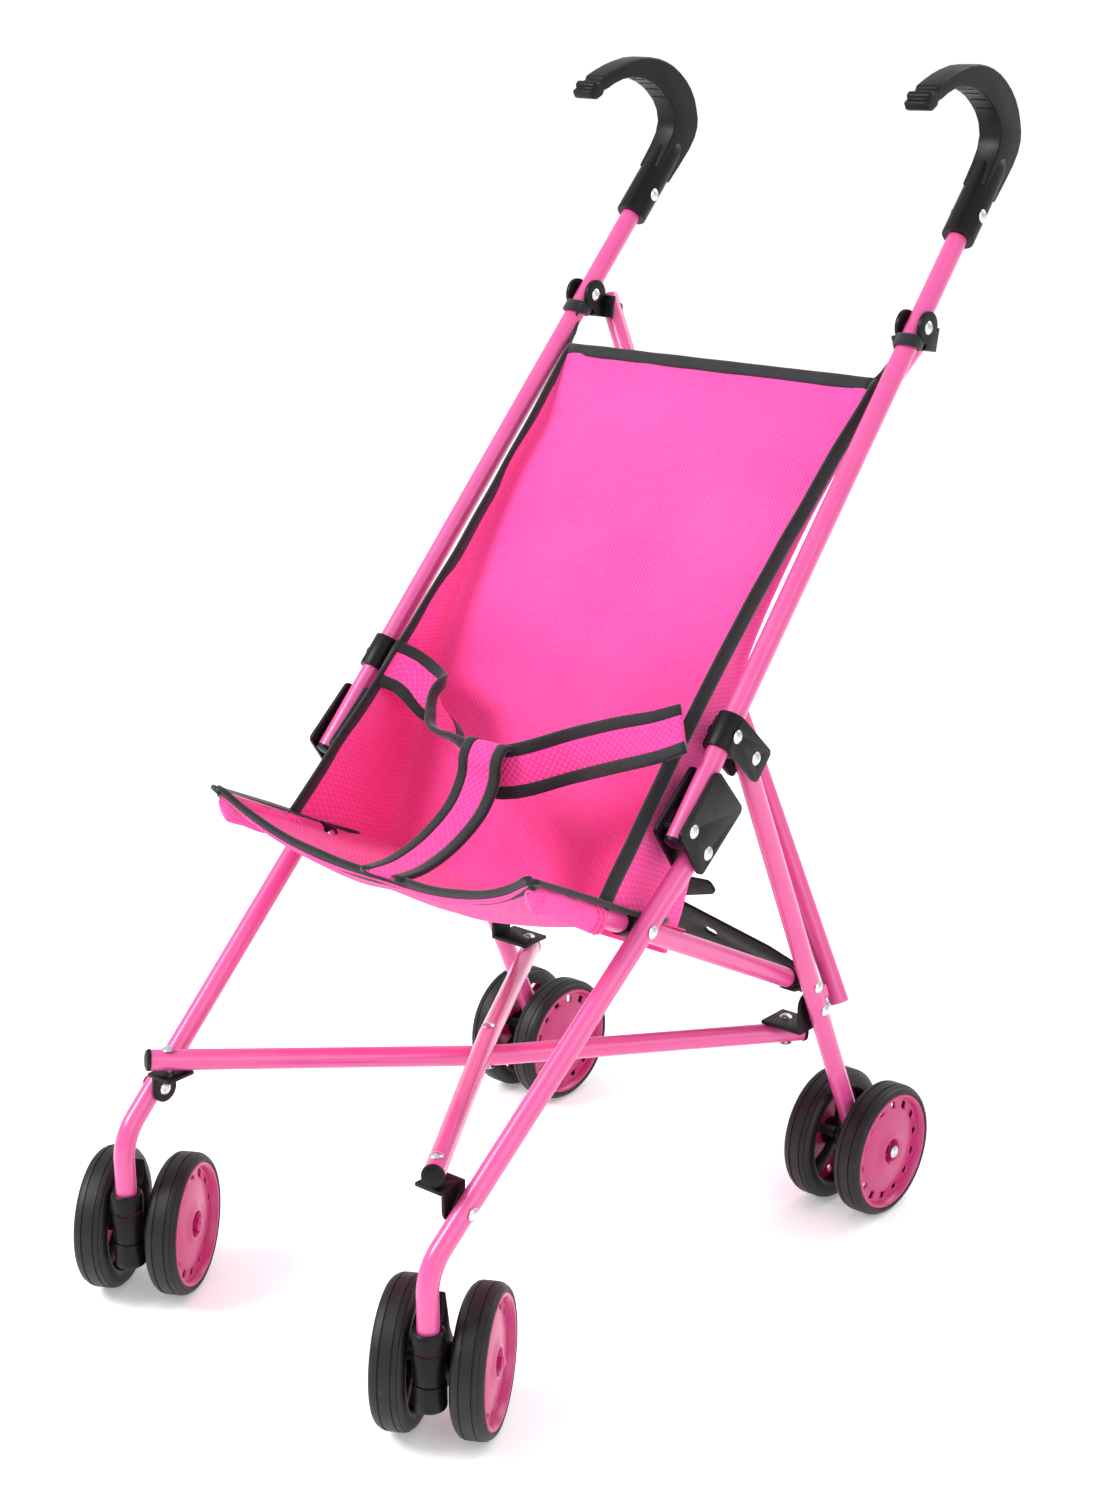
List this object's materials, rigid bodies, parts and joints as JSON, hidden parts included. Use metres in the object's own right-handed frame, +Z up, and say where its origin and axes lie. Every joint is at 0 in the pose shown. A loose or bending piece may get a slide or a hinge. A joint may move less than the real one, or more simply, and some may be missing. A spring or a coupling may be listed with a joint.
{
  "type": "doll stroller",
  "caption": "Folding umbrella-style doll stroller: pink tube frame, fabric sling seat with lap belt, hooked grips, swivelling front casters and paired wheels.",
  "frame": {"origin": "on the floor, below the middle of the whole stroller's bounding box", "axes": "+Z up; the stroller's front faces -Y; +X is to the right seen from in front"},
  "size_m": [0.2677, 0.4357, 0.5449],
  "materials": {
    "pink_tube": "gloss hot-pink enamel on steel tube",
    "rivet_steel": "plated domed rivets and axles",
    "black_fitting": "satin moulded black plastic",
    "black_wheel": "moulded black plastic with a ribbed tread",
    "pink_dish": "moulded deep-pink plastic",
    "pink_fabric": "woven hot-pink polyester with black binding"
  },
  "bodies": {
    "crossing": {"cross_rivet": "rivet_steel"},
    "cross_a": {"cross_tube_a": "pink_tube", "cross_rivets_a": "rivet_steel"},
    "cross_b": {"cross_tube_b": "pink_tube", "cross_rivets_b": "rivet_steel"},
    "front_bracket_right": {"bracket_front_right": "black_fitting"},
    "rear_bracket_right": {"bracket_rear_right": "black_fitting"},
    "front_leg_right": {"front_leg_right": "pink_tube", "hinge_plate_right": "black_fitting", "front_leg_rivets_right": "rivet_steel"},
    "handle_right": {"handle_tube_right": "pink_tube", "grip_right": "black_fitting", "clamp_right": "black_fitting", "handle_rivets_right": "rivet_steel", "seat_back": "pink_fabric"},
    "rear_leg_right": {"rear_leg_right": "pink_tube", "rear_leg_rivets_right": "rivet_steel"},
    "rail_right": {"rail_right": "pink_tube", "rail_fittings_right": "black_fitting", "seat_panel": "pink_fabric", "seat_belt": "pink_fabric"},
    "top_bracket_right": {"top_bracket_right": "black_fitting"},
    "rear_cross_b": {"rear_cross_b": "pink_tube"},
    "strut_right": {"strut_link_right": "black_fitting"},
    "caster_right": {"caster_right": "black_fitting", "front_axle_right": "rivet_steel"},
    "wheel_front_right_outer": {"wheel_front_right_outer": "black_wheel", "dish_front_right_outer": "pink_dish"},
    "wheel_rear_right_outer": {"wheel_rear_right_outer": "black_wheel", "dish_rear_right_outer": "pink_dish"},
    "wheel_front_right_inner": {"wheel_front_right_inner": "black_wheel", "dish_front_right_inner": "pink_dish"},
    "wheel_rear_right_inner": {"wheel_rear_right_inner": "black_wheel", "dish_rear_right_inner": "pink_dish"},
    "front_bracket_left": {"bracket_front_left": "black_fitting"},
    "rear_bracket_left": {"bracket_rear_left": "black_fitting"},
    "front_leg_left": {"front_leg_left": "pink_tube", "hinge_plate_left": "black_fitting", "front_leg_rivets_left": "rivet_steel"},
    "handle_left": {"handle_tube_left": "pink_tube", "grip_left": "black_fitting", "clamp_left": "black_fitting", "handle_rivets_left": "rivet_steel"},
    "rear_leg_left": {"rear_leg_left": "pink_tube", "rear_leg_rivets_left": "rivet_steel"},
    "rail_left": {"rail_left": "pink_tube", "rail_fittings_left": "black_fitting"},
    "top_bracket_left": {"top_bracket_left": "black_fitting"},
    "rear_cross_a": {"rear_cross_a": "pink_tube"},
    "strut_left": {"strut_link_left": "black_fitting"},
    "caster_left": {"caster_left": "black_fitting", "front_axle_left": "rivet_steel"},
    "wheel_front_left_outer": {"wheel_front_left_outer": "black_wheel", "dish_front_left_outer": "pink_dish"},
    "wheel_rear_left_outer": {"wheel_rear_left_outer": "black_wheel", "dish_rear_left_outer": "pink_dish"},
    "wheel_front_left_inner": {"wheel_front_left_inner": "black_wheel", "dish_front_left_inner": "pink_dish"},
    "wheel_rear_left_inner": {"wheel_rear_left_inner": "black_wheel", "dish_rear_left_inner": "pink_dish"}
  },
  "joints": [
    {"name": "cross_a_turn", "type": "hinge", "parent": "crossing", "child": "cross_a", "pos_m": [0.0065, -0.0564, 0.1085], "axis": [0, 0, 1], "range_deg": [0, 26], "deforming": ["seat_back", "seat_panel", "seat_belt"]},
    {"name": "cross_b_turn", "type": "hinge", "parent": "crossing", "child": "cross_b", "pos_m": [0.0065, -0.0564, 0.1085], "axis": [0, 0, 1], "range_deg": [-26.5, 0]},
    {"name": "front_bracket_right_turn", "type": "hinge", "parent": "cross_b", "child": "front_bracket_right", "pos_m": [0.08855, -0.1802, 0.1213], "axis": [0, 0, 1], "range_deg": [0, 26.5]},
    {"name": "rear_bracket_right_turn", "type": "hinge", "parent": "cross_a", "child": "rear_bracket_right", "pos_m": [0.08855, 0.0674, 0.0958], "axis": [0, 0, 1], "range_deg": [-26.5, 0]},
    {"name": "front_leg_right_tilt", "type": "hinge", "parent": "front_bracket_right", "child": "front_leg_right", "pos_m": [0.1018, -0.17797, 0.1046], "axis": [1, 0, 0], "range_deg": [-23.08, 0]},
    {"name": "handle_right_fold", "type": "hinge", "parent": "front_leg_right", "child": "handle_right", "pos_m": [0.11164, -0.04736, 0.23676], "axis": [1, 0, 0], "range_deg": [0, 80.46]},
    {"name": "rear_leg_right_fold", "type": "hinge", "parent": "handle_right", "child": "rear_leg_right", "pos_m": [0.11, -0.00085, 0.25765], "axis": [1, 0, 0], "range_deg": [-37.63, 0]},
    {"name": "rail_right_tilt", "type": "hinge", "parent": "front_leg_right", "child": "rail_right", "pos_m": [0.0985, -0.0697, 0.19643], "axis": [1, 0, 0], "range_deg": [0, 42.48]},
    {"name": "top_bracket_right_turn", "type": "hinge", "parent": "handle_right", "child": "top_bracket_right", "pos_m": [0.105, 0.13606, 0.42957], "axis": [1, 0, 0], "range_deg": [-15.03, 0]},
    {"name": "rear_cross_b_turn", "type": "hinge", "parent": "top_bracket_right", "child": "rear_cross_b", "pos_m": [0.099, 0.14953, 0.42225], "axis": [0, 0.9728, -0.2317], "range_deg": [-21.61, 0]},
    {"name": "strut_right_lift", "type": "hinge", "parent": "rear_leg_right", "child": "strut_right", "pos_m": [0.0975, 0.06025, 0.121], "axis": [0, 0.9129, 0.4082], "range_deg": [0, 56.12]},
    {"name": "caster_right_swivel", "type": "hinge", "parent": "front_leg_right", "child": "caster_right", "pos_m": [0.1003, -0.1999, 0.043], "axis": [0, 0, 1], "continuous": true},
    {"name": "wheel_front_right_outer_spin", "type": "hinge", "parent": "caster_right", "child": "wheel_front_right_outer", "pos_m": [0.10427, -0.17095, 0.033], "axis": [0.8829, 0.4695, 0], "continuous": true},
    {"name": "wheel_rear_right_outer_spin", "type": "hinge", "parent": "rear_leg_right", "child": "wheel_rear_right_outer", "pos_m": [0.1244, 0.0996, 0.033], "axis": [1, 0, 0], "continuous": true},
    {"name": "wheel_front_right_inner_spin", "type": "hinge", "parent": "caster_right", "child": "wheel_front_right_inner", "pos_m": [0.07408, -0.187, 0.033], "axis": [0.8829, 0.4695, 0], "continuous": true},
    {"name": "wheel_rear_right_inner_spin", "type": "hinge", "parent": "rear_leg_right", "child": "wheel_rear_right_inner", "pos_m": [0.0956, 0.0996, 0.033], "axis": [1, 0, 0], "continuous": true},
    {"name": "front_bracket_left_turn", "type": "hinge", "parent": "cross_a", "child": "front_bracket_left", "pos_m": [-0.07555, -0.1802, 0.1213], "axis": [0, 0, 1], "range_deg": [-26.5, 0]},
    {"name": "rear_bracket_left_turn", "type": "hinge", "parent": "cross_b", "child": "rear_bracket_left", "pos_m": [-0.07555, 0.0674, 0.0958], "axis": [0, 0, 1], "range_deg": [0, 26.5]},
    {"name": "front_leg_left_tilt", "type": "hinge", "parent": "front_bracket_left", "child": "front_leg_left", "pos_m": [-0.0888, -0.17797, 0.1046], "axis": [1, 0, 0], "range_deg": [-23.08, 0]},
    {"name": "handle_left_fold", "type": "hinge", "parent": "front_leg_left", "child": "handle_left", "pos_m": [-0.09864, -0.04736, 0.23676], "axis": [1, 0, 0], "range_deg": [0, 80.46]},
    {"name": "rear_leg_left_fold", "type": "hinge", "parent": "handle_left", "child": "rear_leg_left", "pos_m": [-0.097, -0.00085, 0.25765], "axis": [1, 0, 0], "range_deg": [-37.63, 0]},
    {"name": "rail_left_tilt", "type": "hinge", "parent": "front_leg_left", "child": "rail_left", "pos_m": [-0.0855, -0.0697, 0.19643], "axis": [1, 0, 0], "range_deg": [0, 42.48]},
    {"name": "top_bracket_left_turn", "type": "hinge", "parent": "handle_left", "child": "top_bracket_left", "pos_m": [-0.092, 0.13606, 0.42957], "axis": [1, 0, 0], "range_deg": [-15.03, 0]},
    {"name": "rear_cross_a_turn", "type": "hinge", "parent": "top_bracket_left", "child": "rear_cross_a", "pos_m": [-0.086, 0.14953, 0.42225], "axis": [0, 0.9728, -0.2317], "range_deg": [0, 21.61]},
    {"name": "strut_left_lift", "type": "hinge", "parent": "rear_leg_left", "child": "strut_left", "pos_m": [-0.0845, 0.06025, 0.121], "axis": [0, 0.9129, 0.4082], "range_deg": [-56.12, 0]},
    {"name": "caster_left_swivel", "type": "hinge", "parent": "front_leg_left", "child": "caster_left", "pos_m": [-0.0873, -0.1999, 0.043], "axis": [0, 0, 1], "continuous": true},
    {"name": "wheel_front_left_outer_spin", "type": "hinge", "parent": "caster_left", "child": "wheel_front_left_outer", "pos_m": [-0.11353, -0.187, 0.033], "axis": [0.8829, 0.4695, 0], "continuous": true},
    {"name": "wheel_rear_left_outer_spin", "type": "hinge", "parent": "rear_leg_left", "child": "wheel_rear_left_outer", "pos_m": [-0.1114, 0.0996, 0.033], "axis": [1, 0, 0], "continuous": true},
    {"name": "wheel_front_left_inner_spin", "type": "hinge", "parent": "caster_left", "child": "wheel_front_left_inner", "pos_m": [-0.08333, -0.17095, 0.033], "axis": [0.8829, 0.4695, 0], "continuous": true},
    {"name": "wheel_rear_left_inner_spin", "type": "hinge", "parent": "rear_leg_left", "child": "wheel_rear_left_inner", "pos_m": [-0.0826, 0.0996, 0.033], "axis": [1, 0, 0], "continuous": true}
  ],
  "couplings": [
    {"joint": "cross_b_turn", "follows": "cross_a_turn", "ratio": -1},
    {"joint": "front_bracket_right_turn", "follows": "cross_a_turn", "ratio": 1},
    {"joint": "rear_bracket_right_turn", "follows": "cross_a_turn", "ratio": -1},
    {"joint": "front_leg_right_tilt", "follows": "cross_a_turn", "ratio": -0.8683},
    {"joint": "handle_right_fold", "follows": "cross_a_turn", "ratio": 3.0755},
    {"joint": "rear_leg_right_fold", "follows": "cross_a_turn", "ratio": -1.4282},
    {"joint": "rail_right_tilt", "follows": "cross_a_turn", "ratio": 1.6145},
    {"joint": "top_bracket_right_turn", "follows": "cross_a_turn", "ratio": -0.55888},
    {"joint": "rear_cross_b_turn", "follows": "cross_a_turn", "ratio": -0.81181},
    {"joint": "strut_right_lift", "follows": "cross_a_turn", "ratio": 2.1392},
    {"joint": "front_bracket_left_turn", "follows": "cross_a_turn", "ratio": -1},
    {"joint": "rear_bracket_left_turn", "follows": "cross_a_turn", "ratio": 1},
    {"joint": "front_leg_left_tilt", "follows": "cross_a_turn", "ratio": -0.8683},
    {"joint": "handle_left_fold", "follows": "cross_a_turn", "ratio": 3.0755},
    {"joint": "rear_leg_left_fold", "follows": "cross_a_turn", "ratio": -1.4282},
    {"joint": "rail_left_tilt", "follows": "cross_a_turn", "ratio": 1.6145},
    {"joint": "top_bracket_left_turn", "follows": "cross_a_turn", "ratio": -0.55888},
    {"joint": "rear_cross_a_turn", "follows": "cross_a_turn", "ratio": 0.81181},
    {"joint": "strut_left_lift", "follows": "cross_a_turn", "ratio": -2.1392}
  ]
}
